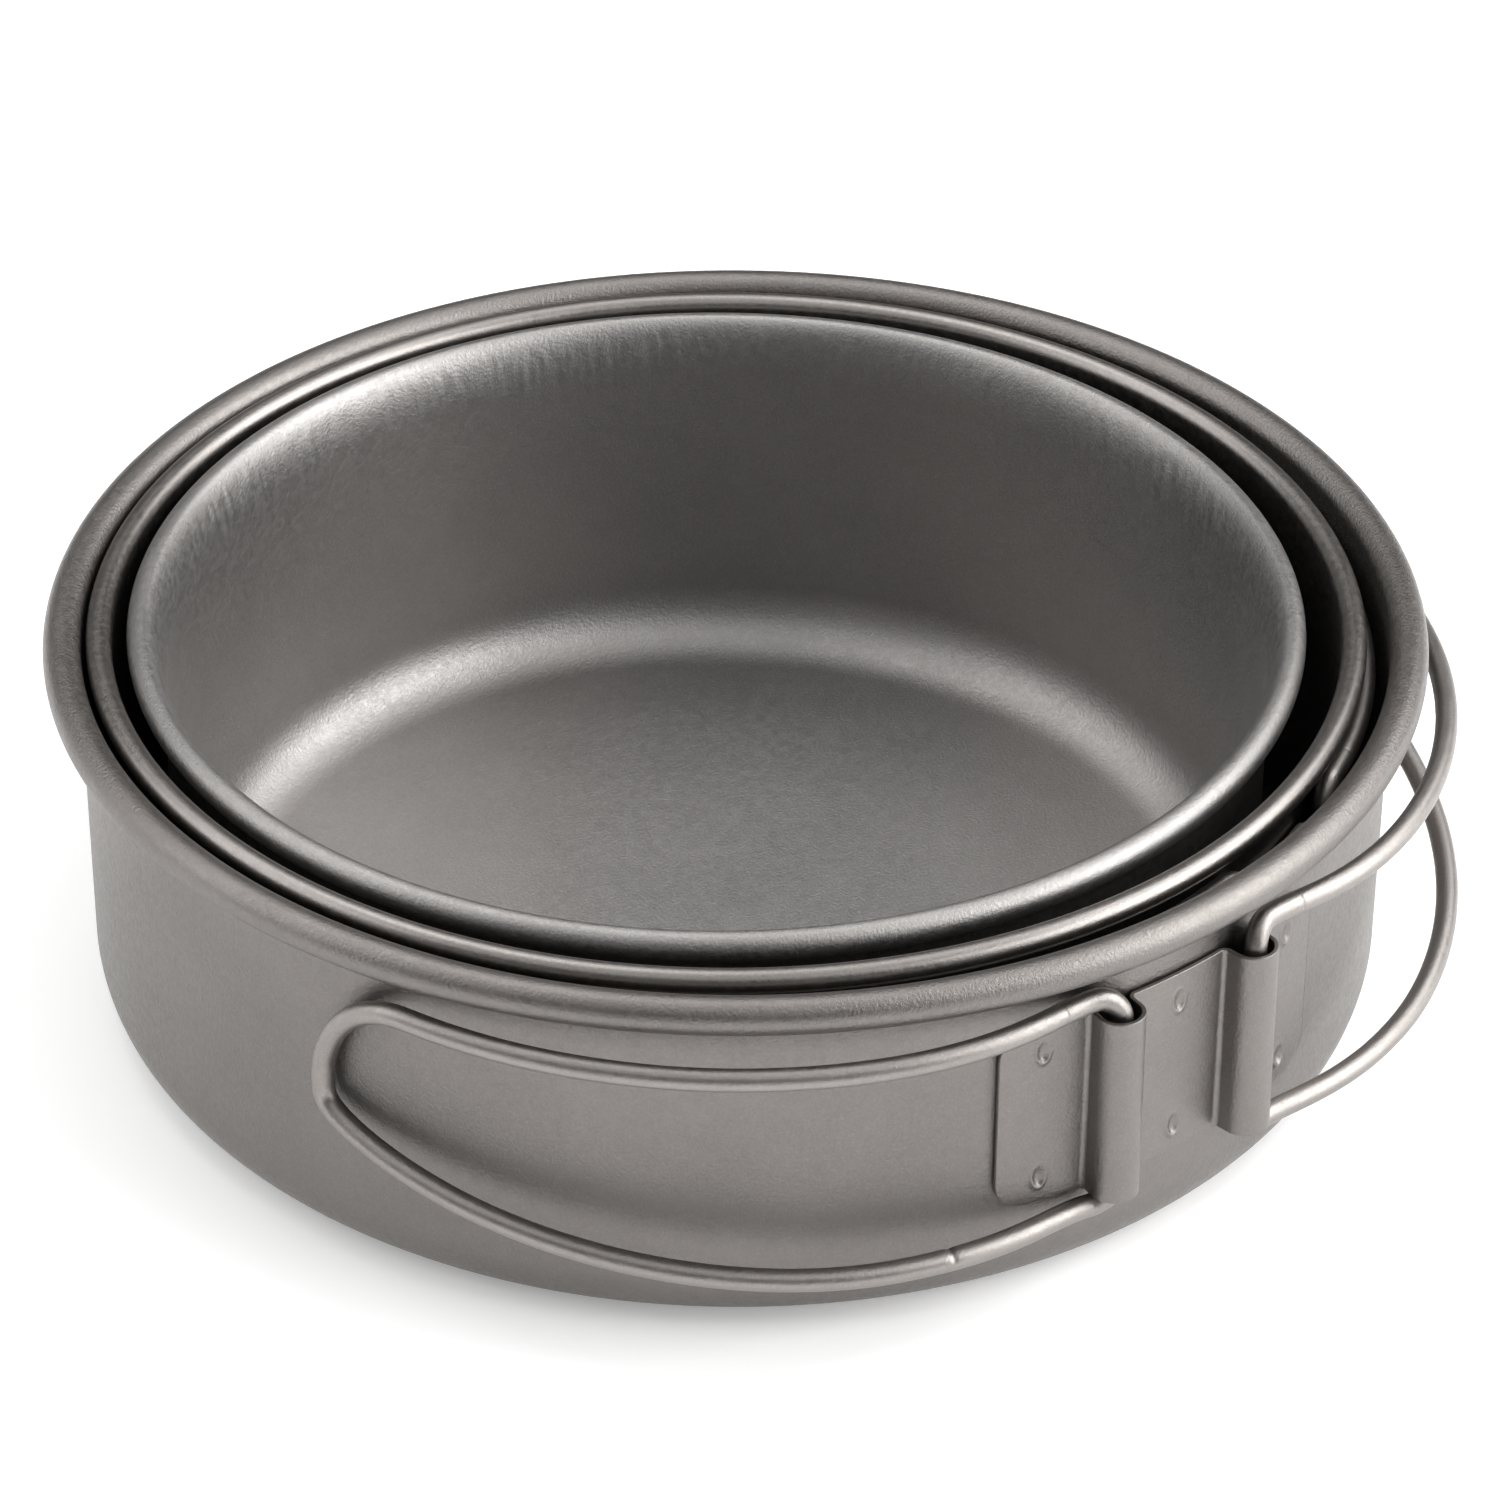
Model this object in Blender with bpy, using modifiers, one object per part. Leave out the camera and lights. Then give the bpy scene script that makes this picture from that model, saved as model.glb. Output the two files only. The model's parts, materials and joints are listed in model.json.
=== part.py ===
"""Nesting titanium cooking pot set: three pots, two brackets and four folding wire handles.

Metres, +Z up. The origin is the centre of the large pot's flat base, on the ground. The large
pot's bracket faces -Y, with its handles folded round the wall to either side. The medium pot
stands in the large one, turned a little, and the small pot stands in the medium one.
"""

import math
from typing import NamedTuple

import bmesh
import bpy

MM = 0.001
SHEET = 0.5 * MM              # wall of every pot
BRACKET_SHEET = 0.6 * MM
WIRE_RADIUS = 1.5 * MM
REST_GAP = 0.3 * MM           # clearance left between pieces that rest on each other
WALL_TAPER = 0.012            # inward lean of the walls, radius lost per unit of height
TURN_STEPS = 60

# Outer radius of the rim, radius of its bead, and outer radius of the bottom corner.
LARGE_RIM, LARGE_BEAD, LARGE_CORNER = 92.5 * MM, 2.55 * MM, 9.3 * MM
MEDIUM_RIM, MEDIUM_BEAD, MEDIUM_CORNER = 85.6 * MM, 1.7 * MM, 9.0 * MM
SMALL_RIM, SMALL_BEAD, SMALL_CORNER = 78.95 * MM, 2.1 * MM, 9.2 * MM
SMALL_FLARE_OUT, SMALL_FLARE_DOWN = 2.95 * MM, 9.0 * MM   # bell mouth inside the small pot

MEDIUM_BASE = SHEET + REST_GAP
SMALL_BASE = 2 * MEDIUM_BASE
LARGE_HEIGHT, MEDIUM_HEIGHT, SMALL_HEIGHT = 54.9 * MM, 53.5 * MM, 52.5 * MM
MEDIUM_TURN = math.radians(19.1)      # the medium bracket stands round from the large one
MEDIUM_SHIFT = 1.45 * MM              # its handles push the medium pot away from its bracket
SMALL_OFFSET = (-0.6 * MM, 3.35 * MM)

BRACKET_MID = 29.7 * MM               # above each pot's base
BRACKET_HEIGHT = 28.0 * MM
BRACKET_REACH = 27.0 * MM             # half width, measured round the wall
BRACKET_CORNER = 4.5 * MM
BARREL_SPACING = 11.1 * MM            # barrel centre from bracket centre, round the wall
BARREL_HALF_WIDTH = 2.9 * MM          # to the middle of the sheet, which is also its nose radius
BARREL_FILLET = 1.2 * MM

LEG_BEND = 3.3 * MM                   # centreline radius where the wire turns into the barrel
LEG_END = 5.0 * MM                    # each wire end stops this far from the barrel's middle
ARM_DOWN = 15.9 * MM                  # lower arm below the bracket's middle
ARM_HUMP, ARM_HUMP_LENGTH = 0.5 * MM, 12.0 * MM   # the upper arm rises to meet its bend
HUG_LENGTH = 6.0 * MM                 # both arms dip to the wall this far from the barrel
TIP_DROP = 2.0 * MM                   # far point of the loop below the bracket's middle
TIP_TOP_LENGTH, TIP_LOW_LENGTH = 14.6 * MM, 78.0 * MM
TIP_PULLS = (5.3 * MM, 27.4 * MM)     # how long its lower corner stays upright, then level


class Fittings(NamedTuple):
    """What differs between the brackets and handles of the two larger pots."""

    prefix: str
    nose_out: float       # centre of a barrel's nose, out from the bracket's sheet
    pivot_out: float      # axis of a handle, out from the bracket's sheet
    arm_up: float         # upper arm above the bracket's middle
    loop: float           # length of a handle along its sweep
    bends: tuple          # radius the left and right handles are bent to
    toe_out: float        # angle at which a handle leaves its barrel
    hug: float            # how far its arms dip to the wall beside the barrel
    right_open: float     # how far the right handle stands open
    right_twist: float    # outward lean of its lower arm, per unit of height, at the far end


LARGE = Fittings("large", 2.5 * MM, 2.8 * MM, 15.9 * MM, 111.0 * MM, (75.2 * MM, 69.7 * MM),
                 math.radians(7.5), 1.8 * MM, math.radians(4.1), 0.28)
MEDIUM = Fittings("medium", 1.8 * MM, 2.1 * MM, 17.2 * MM, 102.0 * MM, (82.8 * MM, 82.8 * MM),
                  math.radians(1.0), 0.2 * MM, 0.0, 0.0)


def arc(centre, radii, start, end, count):
    """Points of an elliptical arc in a plane, angles in degrees."""
    points = []
    for i in range(count + 1):
        angle = math.radians(start + (end - start) * i / count)
        points.append((centre[0] + radii[0] * math.cos(angle), centre[1] + radii[1] * math.sin(angle)))
    return points


def bezier(corners, t):
    """Point of a cubic curve in a plane."""
    weights = ((1 - t)**3, 3 * (1 - t)**2 * t, 3 * (1 - t) * t**2, t**3)
    return tuple(sum(w * point[axis] for w, point in zip(weights, corners)) for axis in (0, 1))


def titanium(name, shade, roughness):
    material = bpy.data.materials.new(name)
    material.use_nodes = True
    shader = material.node_tree.nodes["Principled BSDF"]
    shader.inputs["Base Color"].default_value = (shade, shade * 0.965, shade * 0.93, 1.0)
    shader.inputs["Metallic"].default_value = 1.0
    shader.inputs["Roughness"].default_value = roughness
    return material


def add_object(name, data, material, parts):
    data.materials.append(material)
    obj = bpy.data.objects.new(name, data)
    parts.objects.link(obj)
    return obj


def pot_profile(rim, bead, corner, height, flare=None):
    """Section of one pot from the middle of its floor, up the inside, over the rolled rim and
    down the outside to the middle of its base."""
    bead_z = height - bead
    bead_x = rim - bead
    inner_top = bead_x - bead
    if flare:
        inner_top = bead_x - flare[0]
    neck_z = height - flare[1] if flare else bead_z
    outer_top = inner_top + SHEET
    outer_foot = outer_top - WALL_TAPER * (neck_z - corner)
    corner_centre = (outer_foot - corner, corner)
    inside = corner - SHEET

    points = [(0.0, SHEET)]
    points += arc(corner_centre, (inside, inside), -90, 0, 6)
    if flare:
        points += arc((bead_x, neck_z), flare, 180, 90, 5)
        points += arc((bead_x, bead_z), (bead, bead), 90, -70, 7)[1:]
        points += arc((bead_x, bead_z), (bead - SHEET, bead - SHEET), -70, 90, 5)
        shell = (flare[0] - SHEET, flare[1] - SHEET)
        points += arc((bead_x, neck_z), shell, 90, 180, 4)[1:]
    else:
        points += arc((bead_x, bead_z), (bead, bead), 180, -130, 12)
        points += arc((bead_x, bead_z), (bead - SHEET, bead - SHEET), -130, 180, 10)
    points += arc(corner_centre, (corner, corner), 0, -90, 6)
    points.append((0.0, 0.0))
    return points


def pot_shell(name, section, material, parts):
    mesh = bpy.data.meshes.new(name)
    edges = [(i, i + 1) for i in range(len(section) - 1)]
    mesh.from_pydata([(x, 0.0, z) for x, z in section], edges, [])
    shell = add_object(name, mesh, material, parts)
    turn = shell.modifiers.new("turn", "SCREW")
    turn.axis = "Z"
    turn.angle = 2 * math.pi
    turn.steps = turn.render_steps = TURN_STEPS
    turn.use_merge_vertices = True
    turn.merge_threshold = 0.00001
    turn.use_smooth_shade = True
    return shell


def bracket_line(nose_out):
    """Middle of the bent sheet seen from above: distance round the wall and height off it."""
    side = BARREL_HALF_WIDTH
    fillet = BARREL_FILLET
    edge = BRACKET_REACH - BRACKET_CORNER
    half = [(edge + BRACKET_CORNER * math.cos(math.radians(a)), 0.0) for a in (0, 12, 30, 50, 70, 90)]
    half += arc((BARREL_SPACING + side + fillet, fillet), (fillet, fillet), 270, 180, 4)
    half += arc((BARREL_SPACING, nose_out), (side, side), 0, 180, 8)
    half += arc((BARREL_SPACING - side - fillet, fillet), (fillet, fillet), 0, -90, 4)
    half.append((0.0, 0.0))
    mirrored = [(-u, n) for u, n in half[:-1]]
    return mirrored + half[::-1]


def bracket(radius, fittings, material, parts):
    """A strip of sheet bent into two upright barrels, its ends rounded, hugging a leaning wall.

    The local origin is on the pot's axis at the bracket's mid height, facing -Y. The radius is
    that of the middle of the sheet where it lies on the wall.
    """
    line = bracket_line(fittings.nose_out)
    rings = []
    mesh = bmesh.new()
    for i, (u, n) in enumerate(line):
        before, after = line[max(i - 1, 0)], line[min(i + 1, len(line) - 1)]
        du, dn = after[0] - before[0], after[1] - before[1]
        length = math.hypot(du, dn)
        du, dn = du / length, dn / length
        into_corner = max(0.0, abs(u) - (BRACKET_REACH - BRACKET_CORNER)) / BRACKET_CORNER
        drop = BRACKET_CORNER * (1.0 - math.sqrt(max(0.0, 1.0 - into_corner**2)))
        top = BRACKET_HEIGHT / 2 - drop
        ring = []
        for z, face in ((-top, -0.5), (top, -0.5), (top, 0.5), (-top, 0.5)):
            across = u - dn * face * BRACKET_SHEET
            out = n + du * face * BRACKET_SHEET
            lean = WALL_TAPER * z * (1.0 - min(1.0, max(0.0, out / fittings.nose_out)))
            distance = radius + out + lean
            angle = across / radius
            ring.append(mesh.verts.new((distance * math.sin(angle), -distance * math.cos(angle), z)))
        rings.append(ring)
    for first, second in zip(rings, rings[1:]):
        for k in range(4):
            mesh.faces.new((first[k], second[k], second[(k + 1) % 4], first[(k + 1) % 4]))
    mesh.faces.new(rings[0])
    mesh.faces.new(rings[-1][::-1])
    bmesh.ops.recalc_face_normals(mesh, faces=mesh.faces)
    data = bpy.data.meshes.new(fittings.prefix + "_bracket")
    mesh.to_mesh(data)
    mesh.free()
    return add_object(data.name, data, material, parts)


def handle_outline(fittings):
    """The loop laid flat: distance along the wire's sweep from the barrel, and height."""
    def upper(s):
        return fittings.arm_up + ARM_HUMP * math.exp(-(s - LEG_BEND) / ARM_HUMP_LENGTH)

    line = [(0.0, LEG_END)]
    line += arc((LEG_BEND, upper(LEG_BEND) - LEG_BEND), (LEG_BEND, LEG_BEND), 180, 97, 5)
    reach = fittings.loop - TIP_TOP_LENGTH
    steps = [LEG_BEND + (reach - LEG_BEND) * (k / 14) ** 1.4 for k in range(1, 14)]
    line += [(s, upper(s)) for s in steps]
    line += arc((reach, -TIP_DROP), (TIP_TOP_LENGTH, fittings.arm_up + TIP_DROP), 90, 0, 7)
    reach = fittings.loop - TIP_LOW_LENGTH
    corner = (
        (fittings.loop, -TIP_DROP), (fittings.loop, -TIP_DROP - TIP_PULLS[0]),
        (reach + TIP_PULLS[1], -ARM_DOWN), (reach, -ARM_DOWN),
    )
    line += [bezier(corner, k / 14) for k in range(1, 15)]
    line += [(LEG_BEND + (reach - LEG_BEND) * (k / 7) ** 1.2, -ARM_DOWN) for k in range(6, 0, -1)]
    line += arc((LEG_BEND, LEG_BEND - ARM_DOWN), (LEG_BEND, LEG_BEND), -90, -180, 5)
    line.append((0.0, -LEG_END))
    return line


def wire_handle(name, side, fittings, material, parts):
    """A wire loop swept round the pot; the local origin is on the upright axis of its barrel.

    At zero turn the loop runs towards -X (side -1) or +X (side +1), bending back towards +Y.
    """
    curve = bpy.data.curves.new(name, "CURVE")
    curve.dimensions = "3D"
    curve.bevel_depth = WIRE_RADIUS
    curve.bevel_resolution = 3
    curve.use_fill_caps = True
    bend = fittings.bends[side > 0]
    line = handle_outline(fittings)
    spline = curve.splines.new("POLY")
    spline.points.add(len(line) - 1)
    for point, (s, z) in zip(spline.points, line):
        heading = fittings.toe_out - s / bend
        along = bend * (math.sin(fittings.toe_out) - math.sin(heading))
        out = bend * (math.cos(heading) - math.cos(fittings.toe_out))
        out -= fittings.hug * s / HUG_LENGTH * math.exp(1.0 - s / HUG_LENGTH)
        if side > 0:
            out -= fittings.right_twist * z * (s / fittings.loop) ** 2
        point.co = (side * along, -out, z, 1.0)
    spline.use_smooth = True
    return add_object(name, curve, material, parts)


def fit_out(shell, wall_top, height, fittings, parts):
    """Add a pot's bracket and its two handles, facing the pot's own -Y."""
    radius = wall_top - WALL_TAPER * (height - BRACKET_MID) + REST_GAP + BRACKET_SHEET / 2
    shade = titanium(fittings.prefix + "_bracket_titanium", 0.50, 0.42)
    plate = bracket(radius, fittings, shade, parts)
    plate.parent = shell
    plate.location.z = BRACKET_MID
    angle = BARREL_SPACING / radius
    pivot = radius + fittings.pivot_out
    for side, label in ((-1, "left"), (1, "right")):
        name = f"{fittings.prefix}_handle_{label}"
        wire = wire_handle(name, side, fittings, titanium(name + "_titanium", 0.55, 0.36), parts)
        wire.parent = shell
        wire.location = (side * pivot * math.sin(angle), -pivot * math.cos(angle), BRACKET_MID)
        wire.rotation_euler.z = side * (angle - (fittings.right_open if side > 0 else 0.0))


def build():
    for obj in list(bpy.data.objects):
        bpy.data.objects.remove(obj, do_unlink=True)
    parts = bpy.data.collections.new("cooking_pot_set")
    bpy.context.scene.collection.children.link(parts)

    large = pot_shell(
        "large_pot_shell",
        pot_profile(LARGE_RIM, LARGE_BEAD, LARGE_CORNER, LARGE_HEIGHT),
        titanium("large_pot_titanium", 0.48, 0.45),
        parts,
    )
    fit_out(large, LARGE_RIM - 2 * LARGE_BEAD + SHEET, LARGE_HEIGHT, LARGE, parts)

    medium = pot_shell(
        "medium_pot_shell",
        pot_profile(MEDIUM_RIM, MEDIUM_BEAD, MEDIUM_CORNER, MEDIUM_HEIGHT),
        titanium("medium_pot_titanium", 0.46, 0.45),
        parts,
    )
    medium.location = (
        -MEDIUM_SHIFT * math.sin(MEDIUM_TURN), MEDIUM_SHIFT * math.cos(MEDIUM_TURN), MEDIUM_BASE,
    )
    medium.rotation_euler.z = MEDIUM_TURN
    fit_out(medium, MEDIUM_RIM - 2 * MEDIUM_BEAD + SHEET, MEDIUM_HEIGHT, MEDIUM, parts)

    small = pot_shell(
        "small_pot_shell",
        pot_profile(
            SMALL_RIM, SMALL_BEAD, SMALL_CORNER, SMALL_HEIGHT,
            (SMALL_FLARE_OUT, SMALL_FLARE_DOWN),
        ),
        titanium("small_pot_titanium", 0.50, 0.43),
        parts,
    )
    small.location = (SMALL_OFFSET[0], SMALL_OFFSET[1], SMALL_BASE)


build()
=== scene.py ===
"""Looks of the nesting titanium cooking pot set: spun pots with rolled rims, sheet brackets and
folding wire handles, each built in mesh code where its CAD solid stands, under soft studio light."""
import json
import math

import bmesh
import bpy
import numpy as np
from mathutils import Matrix, Vector, noise


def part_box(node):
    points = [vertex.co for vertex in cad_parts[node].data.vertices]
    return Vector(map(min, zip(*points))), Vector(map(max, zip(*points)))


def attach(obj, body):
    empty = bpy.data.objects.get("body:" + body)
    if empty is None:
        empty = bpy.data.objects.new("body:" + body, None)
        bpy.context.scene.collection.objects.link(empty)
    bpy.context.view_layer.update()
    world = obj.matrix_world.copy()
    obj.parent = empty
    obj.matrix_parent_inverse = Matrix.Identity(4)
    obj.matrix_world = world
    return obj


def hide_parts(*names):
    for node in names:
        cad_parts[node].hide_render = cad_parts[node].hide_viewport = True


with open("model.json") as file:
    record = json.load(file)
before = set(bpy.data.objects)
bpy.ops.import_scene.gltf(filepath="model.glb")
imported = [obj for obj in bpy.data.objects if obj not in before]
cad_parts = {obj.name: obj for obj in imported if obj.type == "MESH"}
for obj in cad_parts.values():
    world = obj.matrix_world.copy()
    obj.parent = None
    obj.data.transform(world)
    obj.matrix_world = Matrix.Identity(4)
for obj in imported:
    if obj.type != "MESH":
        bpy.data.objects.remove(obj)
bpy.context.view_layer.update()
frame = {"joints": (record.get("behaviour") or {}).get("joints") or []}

MM = 0.001

# Sheet, wire and the walls' taper
SHEET = 0.5 * MM
BRACKET_SHEET = 0.6 * MM
WIRE_RADIUS = 1.5 * MM
WALL_TAPER = 0.012

# Brackets: the CAD's, with rounded sheet edges and tighter fillets
BRACKET_HEIGHT = 28.0 * MM
BRACKET_REACH = 27.0 * MM             # half width, measured round the wall
BRACKET_CORNER = 4.5 * MM
BARREL_SPACING = 11.1 * MM
BARREL_HALF_WIDTH = 2.87 * MM         # a hair inside the CAD's faceted nose
BARREL_FILLET = 1.0 * MM
BRACKET_ROWS = 128
EDGE_ROUNDING = 0.12 * MM
SHARP_EDGE = math.radians(55)
WELD_ACROSS, WELD_UP = 20.9 * MM, 9.8 * MM       # from the bracket's middle
WELD_HALF_WIDTH, WELD_HALF_HEIGHT = 1.15 * MM, 1.85 * MM
WELD_RING, WELD_FOOT, WELD_PIT = 0.10 * MM, 0.36 * MM, 0.26 * MM

# Handles: the CAD's outline, but the loop's sharp lower corner is rounded here, by up to 0.6 mm
LEG_BEND, LEG_END = 3.3 * MM, 5.0 * MM
ARM_DOWN = 15.9 * MM
ARM_HUMP, ARM_HUMP_LENGTH = 0.5 * MM, 12.0 * MM
HUG_LENGTH = 6.0 * MM
TIP_DROP = 2.0 * MM
TIP_TOP_LENGTH, TIP_LOW_LENGTH = 14.6 * MM, 78.0 * MM
TIP_PULLS = (5.3 * MM, 27.4 * MM)
WIRE_SIDES = 32
WIRE_CHAMFER = 0.3 * MM
DIE_RING, DIE_RING_DEPTH = 8.6 * MM, 0.06 * MM    # a forming tool's ring on each upper arm
NICK, NICK_DEPTH = 24.5 * MM, 0.22 * MM           # a small dent on each left lower arm

# Draw puckers inside the small pot, stronger in some patches than in others
PUCKER_SPACING, PUCKER_DEPTH, PUCKER_STRETCH = 1.0 * MM, 0.15 * MM, 0.07
PATCH_SPACING = 22 * MM

# Metal and studio
OUTER_TINT = (1.0, 0.935, 0.885)      # warm where handled
INNER_TINT = (1.0, 0.963, 0.938)
GRAIN_DEPTH = 0.13 * MM
FLOOR_HALF_WIDTH = 60.0
FLOOR_WHITE, FLOOR_ROUGHNESS = (0.9, 0.9, 0.9, 1.0), 0.8
FLOOR_GLOW = 0.25                     # a light table under the paper keeps it white
ROOM_LIGHT = 0.15
LIGHT_DISTANCE = 1.3

# Camera, set to the rim circle of the large pot
CAMERA_AZIMUTH = math.radians(-39.7)
CAMERA_ELEVATION = math.radians(33.608)
CAMERA_ROLL = math.radians(0.352)
CAMERA_DISTANCE = 935.8 * MM
AIM_RIGHT, AIM_DOWN = 1.98 * MM, 19.22 * MM      # from the rim's centre to the optical axis
LENS, SENSOR = 168.0, 36.0


def arc(centre, radii, start, end, count):
    """Points of an elliptical arc in a plane, angles in degrees, both ends included."""
    angles = np.radians(np.linspace(start, end, count + 1))
    return [(centre[0] + radii[0] * math.cos(a), centre[1] + radii[1] * math.sin(a)) for a in angles]


def bezier(corners, t):
    """Point of a cubic curve in a plane."""
    weights = ((1 - t)**3, 3 * (1 - t)**2 * t, 3 * (1 - t) * t**2, t**3)
    return tuple(sum(w * point[axis] for w, point in zip(weights, corners)) for axis in (0, 1))


def new_piece(name, vertices, faces, origin=(0.0, 0.0, 0.0)):
    data = bpy.data.meshes.new(name)
    data.from_pydata([tuple(v) for v in vertices], [], faces)
    mesh = bmesh.new()
    mesh.from_mesh(data)
    bmesh.ops.recalc_face_normals(mesh, faces=mesh.faces)
    mesh.to_mesh(data)
    mesh.free()
    data.shade_smooth()
    piece = bpy.data.objects.new(name, data)
    piece.location = origin
    bpy.context.scene.collection.objects.link(piece)
    return piece


def fit(piece, body, node, material):
    piece.data.materials.append(material)
    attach(piece, body)
    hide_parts(node)


# ---------------------------------------------------------------- pots

def pot_section(rim, bead, corner, height, flare=None):
    """Closed section of a spun pot: floor, inner wall, rolled rim, outer wall and base."""
    bead_x, bead_z = rim - bead, height - bead
    inner_top = bead_x - (flare[0] if flare else bead)
    neck_z = height - flare[1] if flare else bead_z
    outer_top = inner_top + SHEET
    outer_foot = outer_top - WALL_TAPER * (neck_z - corner)
    corner_centre = (outer_foot - corner, corner)
    inside = corner - SHEET
    inner_foot = outer_foot - SHEET

    points = [(0.0, SHEET)]
    points += [(corner_centre[0] * f, SHEET) for f in (0.15, 0.4, 0.65, 0.85, 0.96)]
    points += arc(corner_centre, (inside, inside), -90, 0, 18)
    points += [(inner_foot + (inner_top - inner_foot) * f, corner + (neck_z - corner) * f)
               for f in (0.15, 0.3, 0.45, 0.6, 0.7, 0.8, 0.88, 0.95)]
    if flare:
        points += arc((bead_x, neck_z), flare, 180, 90, 20)
        points += arc((bead_x, bead_z), (bead, bead), 90, -70, 20)[1:]
        tip = arc((bead_x, bead_z), (bead - SHEET, bead - SHEET), -70, 90, 14)
        points += sheet_end(points[-1], tip[0], points[-2]) + tip
        shell = (flare[0] - SHEET, flare[1] - SHEET)
        points += arc((bead_x, neck_z), shell, 90, 180, 12)[1:]
    else:
        points += arc((bead_x, bead_z), (bead, bead), 180, -138, 40)
        tip = arc((bead_x, bead_z), (bead - SHEET, bead - SHEET), -138, 180, 26)
        points += sheet_end(points[-1], tip[0], points[-2]) + tip
    points += [(outer_top + (outer_foot - outer_top) * f, neck_z + (corner - neck_z) * f)
               for f in (0.1, 0.25, 0.4, 0.55, 0.7, 0.85)]
    points += arc(corner_centre, (corner, corner), 0, -90, 18)
    points += [(corner_centre[0] * f, 0.0) for f in (0.96, 0.8, 0.5, 0.2)]
    points.append((0.0, 0.0))
    return points


def sheet_end(first, last, before):
    """Rounds the cut end of the sheet between its two faces."""
    a, b = Vector(first), Vector(last)
    onward = (a - Vector(before)).normalized() * (SHEET * 0.22)
    return [tuple(a.lerp(b, 0.2) + onward), tuple(a.lerp(b, 0.8) + onward)]


def smooth(value, low, high):
    t = min(1.0, max(0.0, (value - low) / (high - low)))
    return t * t * (3 - 2 * t)


def pucker(x, y, z, mouth):
    """Depth of the shallow upright draw puckers below a bell mouth."""
    band = smooth(z, mouth - 12 * MM, mouth - 6 * MM) * smooth(z, mouth - 1.0 * MM, mouth - 3.0 * MM)
    if not band:
        return 0.0
    place = Vector((x, y, z * PUCKER_STRETCH)) / PUCKER_SPACING
    patch = 0.6 + 0.4 * noise.noise(Vector((x, y, 0.0)) / PATCH_SPACING)
    return PUCKER_DEPTH * band * patch * noise.noise(place)


def revolve(name, section, steps, origin, mouth=None):
    """Turns a section whose two ends lie on the axis into a closed mesh.

    With a mouth height, the inside is puckered below it.
    """
    vertices, faces = [], []
    inner = section[1:-1]
    inside = max(range(len(inner)), key=lambda i: inner[i][1]) if mouth else 0
    for k in range(steps):
        angle = 2 * math.pi * k / steps
        c, s = math.cos(angle), math.sin(angle)
        for i, (r, z) in enumerate(inner):
            if i < inside:
                r += pucker(r * c, r * s, z, mouth)
            vertices.append((r * c, r * s, z))
    count = len(inner)
    floor, base = len(vertices), len(vertices) + 1
    vertices += [(0.0, 0.0, section[0][1]), (0.0, 0.0, section[-1][1])]
    for k in range(steps):
        a, b = k * count, ((k + 1) % steps) * count
        faces += [(a + i, b + i, b + i + 1, a + i + 1) for i in range(count - 1)]
        faces.append((floor, b, a))
        faces.append((base, a + count - 1, b + count - 1))
    return new_piece(name, vertices, faces, origin)


# ---------------------------------------------------------------- brackets

def bracket_line(nose_out):
    """Middle of the bent sheet from end to end: distance round the wall and height off it."""
    side, fillet = BARREL_HALF_WIDTH, BARREL_FILLET
    edge = BRACKET_REACH - BRACKET_CORNER
    near = BARREL_SPACING + side + fillet
    far = BARREL_SPACING - side - fillet
    half = [(edge + BRACKET_CORNER * math.cos(math.radians(a)), 0.0) for a in range(0, 91, 6)]
    half += [(edge + (near - edge) * f, 0.0) for f in np.linspace(0.04, 0.98, 30)]
    half += arc((near, fillet), (fillet, fillet), 270, 180, 8)
    half += arc((BARREL_SPACING, nose_out), (side, side), 0, 180, 28)
    half += arc((far, fillet), (fillet, fillet), 0, -90, 8)
    half += [(far * (1 - f), 0.0) for f in np.linspace(0.03, 0.98, 30)]
    half.append((0.0, 0.0))
    return [(-u, n) for u, n in half[:-1]] + half[::-1]


def weld_mark(u, z):
    """Height of the six spot welds: oval pits, each with a lip squeezed up at its foot."""
    height = 0.0
    for across in (-WELD_ACROSS, 0.0, WELD_ACROSS):
        for up in (-WELD_UP, WELD_UP):
            du, dz = (u - across) / WELD_HALF_WIDTH, (z - up) / WELD_HALF_HEIGHT
            d = math.hypot(du, dz)
            if 0.0 < d < 2.0:
                foot = 0.5 - 0.5 * (dz * 0.93 + du * 0.36) / d
                height += (WELD_RING + WELD_FOOT * foot**2) * math.exp(-((d - 0.9) / 0.22)**2)
                height -= WELD_PIT * math.exp(-(d / 0.62)**2)
    return height


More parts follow.
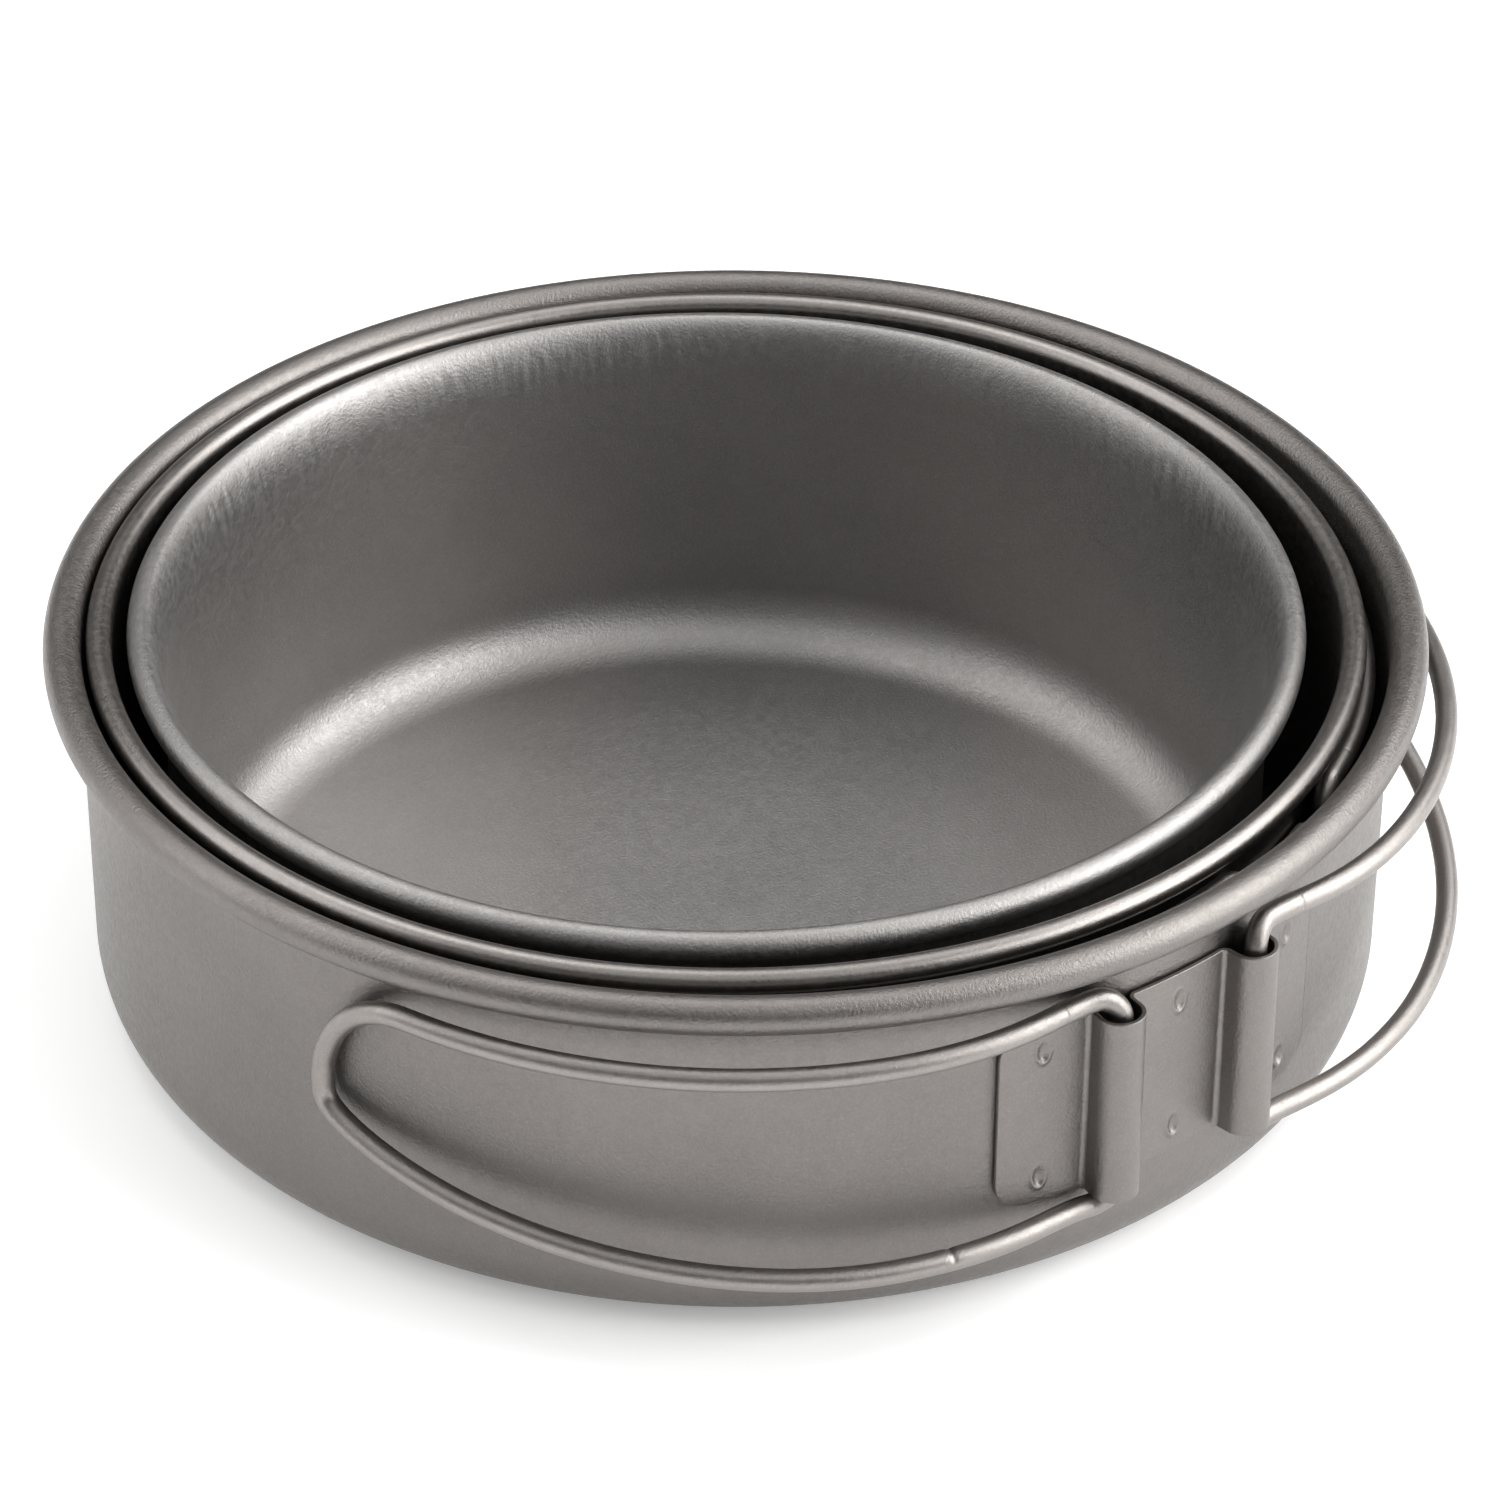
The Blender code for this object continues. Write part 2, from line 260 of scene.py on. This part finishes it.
def bracket(name, radius, nose_out, mid_z, facing, origin):
    """Sheet bent into two upright barrels, with rounded plate corners and weld marks."""
    line = bracket_line(nose_out)
    across, column = len(line), BRACKET_ROWS + 1
    outer, inner = [], []

    def place(u, n, z, along, off):
        around = u - along[1] * off
        out = n + along[0] * off
        lean = WALL_TAPER * z * (1.0 - min(1.0, max(0.0, out / nose_out)))
        distance = radius + out + lean
        angle = facing + around / radius
        return (distance * math.sin(angle), -distance * math.cos(angle), z + mid_z)

    for i, (u, n) in enumerate(line):
        along = (Vector(line[min(i + 1, across - 1)]) - Vector(line[max(i - 1, 0)])).normalized()
        into_corner = max(0.0, abs(u) - (BRACKET_REACH - BRACKET_CORNER)) / BRACKET_CORNER
        top = BRACKET_HEIGHT / 2 - BRACKET_CORNER * (1.0 - math.sqrt(max(0.0, 1.0 - into_corner**2)))
        for j in range(column):
            z = top * (2 * j / BRACKET_ROWS - 1)
            mark = weld_mark(u, z) if n == 0.0 else 0.0
            outer.append(place(u, n, z, along, BRACKET_SHEET / 2 + mark))
            inner.append(place(u, n, z, along, -BRACKET_SHEET / 2))
    size = across * column
    faces = []
    for i in range(across - 1):
        for j in range(BRACKET_ROWS):
            a = i * column + j
            faces.append((a, a + column, a + column + 1, a + 1))
            faces.append((size + a + 1, size + a + column + 1, size + a + column, size + a))
    rim = [i * column for i in range(across)]
    rim += [(across - 1) * column + j for j in range(1, column)]
    rim += [i * column + BRACKET_ROWS for i in range(across - 2, -1, -1)]
    rim += list(range(BRACKET_ROWS - 1, 0, -1))
    faces += [(a, b, b + size, a + size) for a, b in zip(rim, rim[1:] + rim[:1])]
    piece = new_piece(name, outer + inner, faces, origin)
    mesh = bmesh.new()
    mesh.from_mesh(piece.data)
    sharp = [e for e in mesh.edges if len(e.link_faces) == 2 and e.calc_face_angle() > SHARP_EDGE]
    bmesh.ops.bevel(mesh, geom=sharp, offset=EDGE_ROUNDING, segments=3, profile=0.5, affect="EDGES")
    mesh.to_mesh(piece.data)
    mesh.free()
    piece.data.shade_smooth()
    return piece


# ---------------------------------------------------------------- handles

def fine_steps(steps, mark):
    """Adds close steps on both sides of a mark, so that it shows in the mesh."""
    return sorted(list(steps) + [mark + d * MM for d in np.linspace(-0.7, 0.7, 15)])


def ease(line, first, last, rounds):
    """Rounds a tight bend by drawing its points towards the middle of their neighbours."""
    for _ in range(rounds):
        near = zip(line[first - 1:last - 1], line[first:last], line[first + 1:last + 1])
        line[first:last] = [
            ((a[0] + 2 * b[0] + c[0]) / 4, (a[1] + 2 * b[1] + c[1]) / 4) for a, b, c in near
        ]


def handle_outline(arm_up, loop):
    """The loop laid flat: distance along the sweep from the barrel, and height."""
    def upper(s):
        return arm_up + ARM_HUMP * math.exp(-(s - LEG_BEND) / ARM_HUMP_LENGTH)

    line = [(0.0, LEG_END), (0.0, LEG_END + 2 * MM), (0.0, LEG_END + 5 * MM)]
    line += arc((LEG_BEND, upper(LEG_BEND) - LEG_BEND), (LEG_BEND, LEG_BEND), 180, 97, 14)
    reach = loop - TIP_TOP_LENGTH
    steps = LEG_BEND + (reach - LEG_BEND) * np.linspace(0, 1, 60)[1:-1]**1.3
    line += [(s, upper(s)) for s in fine_steps(steps, DIE_RING)]
    line += arc((reach, -TIP_DROP), (TIP_TOP_LENGTH, arm_up + TIP_DROP), 90, 0, 30)
    reach = loop - TIP_LOW_LENGTH
    corner = (
        (loop, -TIP_DROP), (loop, -TIP_DROP - TIP_PULLS[0]),
        (reach + TIP_PULLS[1], -ARM_DOWN), (reach, -ARM_DOWN),
    )
    tip = len(line)
    line += [bezier(corner, k / 64) for k in range(1, 65)]
    ease(line, tip - 6, tip + 26, 30)
    steps = LEG_BEND + (reach - LEG_BEND) * np.linspace(0, 1, 24)[1:-1]**1.15
    line += [(s, -ARM_DOWN) for s in fine_steps(steps, min(NICK, reach - 1 * MM))[::-1]]
    line += arc((LEG_BEND, LEG_BEND - ARM_DOWN), (LEG_BEND, LEG_BEND), -90, -180, 14)
    line += [(0.0, -LEG_END - 5 * MM), (0.0, -LEG_END - 2 * MM), (0.0, -LEG_END)]
    return line


def handle_path(side, outline, loop, bend, toe_out, hug, twist):
    path = []
    for s, z in outline:
        heading = toe_out - s / bend
        along = bend * (math.sin(toe_out) - math.sin(heading))
        out = bend * (math.cos(heading) - math.cos(toe_out))
        out -= hug * s / HUG_LENGTH * math.exp(1.0 - s / HUG_LENGTH) + twist * z * (s / loop)**2
        path.append(Vector((side * along, -out, z)))
    return path


def wire_surface(s, z, way, travelled, side):
    """Radius of the wire: gentle unevenness, a die ring on the upper arm, and on the left
    handles a nick on the lower arm."""
    uneven = noise.noise(Vector((travelled * 160, way.x * 1.3 + 3 * side, way.y * 1.3 + way.z)))
    radius = WIRE_RADIUS * (1.0 - 0.012 * max(0.0, uneven + 0.2))
    if z > 0:
        radius -= DIE_RING_DEPTH * math.exp(-((s - DIE_RING) / (0.16 * MM))**2)
    elif side < 0 and way.z > 0.2:
        radius -= NICK_DEPTH * way.z * math.exp(-((s - NICK) / (0.42 * MM))**2)
    return radius


def wire(name, outline, path, origin, turn, side):
    """A round wire swept along a path, its cut ends chamfered."""
    tangents = [(path[min(i + 1, len(path) - 1)] - path[max(i - 1, 0)]).normalized()
                for i in range(len(path))]
    normal = tangents[0].orthogonal().normalized()
    rings, travelled = [], 0.0
    for i, (point, tangent) in enumerate(zip(path, tangents)):
        if i:
            travelled += (point - path[i - 1]).length
            normal = (normal - tangent * normal.dot(tangent)).normalized()
        other = tangent.cross(normal)
        ring = []
        for k in range(WIRE_SIDES):
            angle = 2 * math.pi * k / WIRE_SIDES
            way = normal * math.cos(angle) + other * math.sin(angle)
            ring.append(point + way * wire_surface(*outline[i], way, travelled, side))
        rings.append(ring)
    for end, sign in ((0, -1), (-1, 1)):
        cap = [path[end] + (v - path[end]) * 0.78 + tangents[end] * sign * WIRE_CHAMFER
               for v in rings[end]]
        rings = [cap] + rings if end == 0 else rings + [cap]
    about_axis = Matrix.Rotation(turn, 3, "Z")
    vertices = [about_axis @ v for ring in rings for v in ring]
    faces = []
    for i in range(len(rings) - 1):
        for k in range(WIRE_SIDES):
            a, b = i * WIRE_SIDES + k, i * WIRE_SIDES + (k + 1) % WIRE_SIDES
            faces.append((a, b, b + WIRE_SIDES, a + WIRE_SIDES))
    last = (len(rings) - 1) * WIRE_SIDES
    faces.append(tuple(range(WIRE_SIDES)))
    faces.append(tuple(range(last + WIRE_SIDES - 1, last - 1, -1)))
    return new_piece(name, vertices, faces, origin)


# ---------------------------------------------------------------- materials

class Nodes:
    """Short way to add and join shader nodes."""

    def __init__(self, name):
        self.material = bpy.data.materials.new(name)
        self.material.use_nodes = True
        self.tree = self.material.node_tree
        self.shader = self.tree.nodes["Principled BSDF"]
        coordinates = self.tree.nodes.new("ShaderNodeTexCoord")
        self.position = coordinates.outputs["Object"]

    def add(self, kind, inputs=None, **settings):
        node = self.tree.nodes.new(kind)
        for key, value in settings.items():
            setattr(node, key, value)
        for key, value in (inputs or {}).items():
            if isinstance(value, bpy.types.NodeSocket):
                self.tree.links.new(value, node.inputs[key])
            else:
                node.inputs[key].default_value = value
        return node

    def math(self, operation, a, b=0.0):
        return self.add("ShaderNodeMath", {0: a, 1: b}, operation=operation).outputs[0]

    def noise(self, scale, detail=2.0, roughness=0.5, stretch=(1, 1, 1)):
        mapping = self.add("ShaderNodeMapping", {
            "Vector": self.position, "Scale": tuple(scale * s for s in stretch),
        })
        node = self.add("ShaderNodeTexNoise", {
            "Vector": mapping.outputs[0], "Scale": 1.0, "Detail": detail, "Roughness": roughness,
        })
        return node.outputs["Fac"]

    def ramp(self, value, low, high, to_low=0.0, to_high=1.0):
        node = self.add("ShaderNodeMapRange", {
            "Value": value, "From Min": low, "From Max": high, "To Min": to_low, "To Max": to_high,
        }, interpolation_type="SMOOTHSTEP")
        return node.outputs["Result"]

    def mix(self, factor, a, b):
        node = self.add("ShaderNodeMix", {"Factor": factor}, data_type="RGBA")
        for key, value in ((6, a), (7, b)):
            if isinstance(value, bpy.types.NodeSocket):
                self.tree.links.new(value, node.inputs[key])
            else:
                node.inputs[key].default_value = (*value, 1.0)
        return node.outputs[2]

    def link(self, value, socket):
        self.tree.links.new(value, self.shader.inputs[socket])


def titanium(name, shade, roughness, grain, tint=OUTER_TINT):
    """Bead-blasted titanium: warm grey, a fine bumped grain with lighter speckles painted in its
    colour as glints, and soft cloudy unevenness.
    """
    n = Nodes(name)
    colour = tuple(shade * k for k in tint)
    darker = tuple(c * 0.90 for c in colour)
    glint_colour = tuple(c * 1.30 for c in colour)
    tone = n.mix(n.ramp(n.noise(40.0, 4.0, 0.6), 0.3, 0.7), darker, colour)
    # lighter fine speckles in the colour: painted glints of the grain, the bump below is the real
    # grain
    tone = n.mix(n.ramp(n.noise(3200.0, 2.0, 0.6), 0.40, 0.75, 0.0, 0.35), tone, glint_colour)
    n.link(tone, "Base Color")
    n.shader.inputs["Metallic"].default_value = 1.0
    n.link(n.ramp(n.noise(900.0, 3.0, 0.7), 0.3, 0.7, roughness - 0.05, roughness + 0.05), "Roughness")
    height = n.noise(2100.0, 3.0, 0.7)
    bump = n.add("ShaderNodeBump", {"Strength": grain, "Distance": GRAIN_DEPTH, "Height": height})
    n.link(bump.outputs[0], "Normal")
    return n.material


# ---------------------------------------------------------------- the set

def pot_centre(prefix):
    low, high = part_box(prefix + "_pot_shell")
    return Vector(((low.x + high.x) / 2, (low.y + high.y) / 2, low.z))


def joint_at(name):
    """Where a joint stands at rest."""
    return Vector(next(j["pos_m"] for j in frame["joints"] if j["name"] == name))


def build_pot(prefix, rim, bead, corner, height, flare, steps, material):
    """One pot; flare is how far its bell mouth opens and how far down it starts, or None."""
    section = pot_section(rim, bead, corner, height, flare)
    piece = revolve(prefix + "_pot", section, steps, pot_centre(prefix), height if flare else None)
    fit(piece, prefix + "_pot", prefix + "_pot_shell", material)


def build_fittings(prefix, nose_out, pivot_out, arm_up, loop, bends, toe_out, hug, opened, twist):
    """A pot's bracket and its two handles, placed from the CAD's hinges."""
    centre = pot_centre(prefix)
    left, right = joint_at(prefix + "_handle_left_hinge"), joint_at(prefix + "_handle_right_hinge")
    middle = (left + right) / 2 - centre
    facing = math.atan2(middle.x, -middle.y)
    pivot = (left - centre).xy.length
    piece = bracket(prefix + "_handle_bracket", pivot - pivot_out, nose_out, left.z - centre.z,
                    facing, centre)
    fit(piece, prefix + "_pot", prefix + "_bracket",
        titanium(prefix + "_bracket_metal", 0.20, 0.40, 0.80))
    angle = math.asin((right - left).xy.length / 2 / pivot)
    outline = handle_outline(arm_up, loop)
    for side, label, place in ((-1, "left", left), (1, "right", right)):
        name = f"{prefix}_handle_{label}"
        path = handle_path(side, outline, loop, bends[side > 0], toe_out, hug,
                           twist if side > 0 else 0.0)
        turn = facing + side * (angle - (opened if side > 0 else 0.0))
        piece = wire(name + "_wire", outline, path, place, turn, side)
        fit(piece, name, name, titanium(name + "_metal", 0.28, 0.42, 0.45))


build_pot(
    "large", rim=92.5 * MM, bead=2.55 * MM, corner=9.3 * MM, height=54.84 * MM, flare=None,
    steps=300, material=titanium("large_pot_metal", 0.195, 0.41, 0.80),
)
build_pot(
    "medium", rim=85.6 * MM, bead=1.7 * MM, corner=9.0 * MM, height=53.5 * MM, flare=None,
    steps=300, material=titanium("medium_pot_metal", 0.25, 0.34, 0.30),
)
build_pot(
    "small", rim=78.95 * MM, bead=2.1 * MM, corner=9.2 * MM, height=52.5 * MM,
    flare=(2.95 * MM, 9.0 * MM), steps=1200,
    # the small pot's metal is painted lighter than the large pot's: painted light for its shaded
    # inside
    material=titanium("small_pot_metal", 0.30, 0.46, 0.60, INNER_TINT),
)
build_fittings(
    "large", nose_out=2.5 * MM, pivot_out=2.8 * MM, arm_up=15.9 * MM, loop=111.0 * MM,
    bends=(75.2 * MM, 69.7 * MM), toe_out=math.radians(7.5), hug=1.8 * MM,
    opened=math.radians(4.1), twist=0.28,
)
build_fittings(
    "medium", nose_out=1.8 * MM, pivot_out=2.1 * MM, arm_up=17.2 * MM, loop=102.0 * MM,
    bends=(82.8 * MM, 82.8 * MM), toe_out=math.radians(1.0), hug=0.2 * MM,
    opened=0.0, twist=0.0,
)


# ---------------------------------------------------------------- studio

def build_floor():
    half = FLOOR_HALF_WIDTH
    corners = [(-half, -half, 0), (half, -half, 0), (half, half, 0), (-half, half, 0)]
    floor = new_piece("floor", corners, [(0, 1, 2, 3)], (0.0, 0.0, -0.05 * MM))
    material = bpy.data.materials.new("floor_paper")
    material.use_nodes = True
    shader = material.node_tree.nodes["Principled BSDF"]
    shader.inputs["Base Color"].default_value = FLOOR_WHITE
    shader.inputs["Roughness"].default_value = FLOOR_ROUGHNESS
    shader.inputs["Emission Color"].default_value = (1, 1, 1, 1)
    shader.inputs["Emission Strength"].default_value = FLOOR_GLOW
    floor.data.materials.append(material)


def area_light(name, azimuth, elevation, size, power):
    """A soft panel facing the pots; azimuth is measured from the camera towards its right."""
    a, e = math.radians(azimuth), math.radians(elevation)
    ahead = Vector((-math.sin(CAMERA_AZIMUTH), math.cos(CAMERA_AZIMUTH), 0.0))
    right = Vector((math.cos(CAMERA_AZIMUTH), math.sin(CAMERA_AZIMUTH), 0.0))
    way = (right * math.sin(a) - ahead * math.cos(a)) * math.cos(e) + Vector((0, 0, math.sin(e)))
    data = bpy.data.lights.new(name, "AREA")
    data.shape = "RECTANGLE"
    data.size, data.size_y = size
    data.energy = power
    light = bpy.data.objects.new(name, data)
    light.location = Vector((0, 0, 40 * MM)) + way * LIGHT_DISTANCE
    light.rotation_mode = "QUATERNION"
    light.rotation_quaternion = way.to_track_quat("Z", "Y")
    bpy.context.scene.collection.objects.link(light)


def build_world():
    world = bpy.data.worlds.new("studio")
    bpy.context.scene.world = world
    world.use_nodes = True
    background = world.node_tree.nodes["Background"]
    background.inputs["Color"].default_value = (1, 1, 1, 1)
    background.inputs["Strength"].default_value = ROOM_LIGHT


def build_camera():
    rim = Vector((0.0, 0.0, 54.9 * MM))
    c, s = math.cos(CAMERA_AZIMUTH), math.sin(CAMERA_AZIMUTH)
    level = math.cos(CAMERA_ELEVATION)
    back = Vector((s * level, -c * level, math.sin(CAMERA_ELEVATION)))
    right = Vector((c, s, 0.0))
    up = back.cross(right)
    data = bpy.data.cameras.new("camera")
    data.lens, data.sensor_width = LENS, SENSOR
    data.clip_start, data.clip_end = 0.01, 50.0
    camera = bpy.data.objects.new("camera", data)
    camera.location = rim + right * AIM_RIGHT - up * AIM_DOWN + back * CAMERA_DISTANCE
    basis = Matrix((right, up, back)).transposed()
    camera.rotation_euler = (basis @ Matrix.Rotation(CAMERA_ROLL, 3, "Z")).to_euler()
    bpy.context.scene.collection.objects.link(camera)
    bpy.context.scene.camera = camera


build_floor()
build_world()
area_light("top", 180, 80, (1.2, 0.9), 4.2)
area_light("back", -155, 60, (1.0, 0.8), 2.8)
area_light("back_right", 115, 45, (0.9, 0.9), 9.0)
area_light("back_left", -120, 60, (0.8, 0.8), 2.8)
area_light("right", 80, 25, (1.3, 1.2), 25.0)
area_light("left", -90, 35, (1.2, 0.8), 6.5)
area_light("low_left", -90, 10, (1.2, 0.5), 2.0)
area_light("front", 0, 60, (1.6, 0.8), 3.4)
build_camera()
bpy.context.scene.view_settings.view_transform = "Standard"
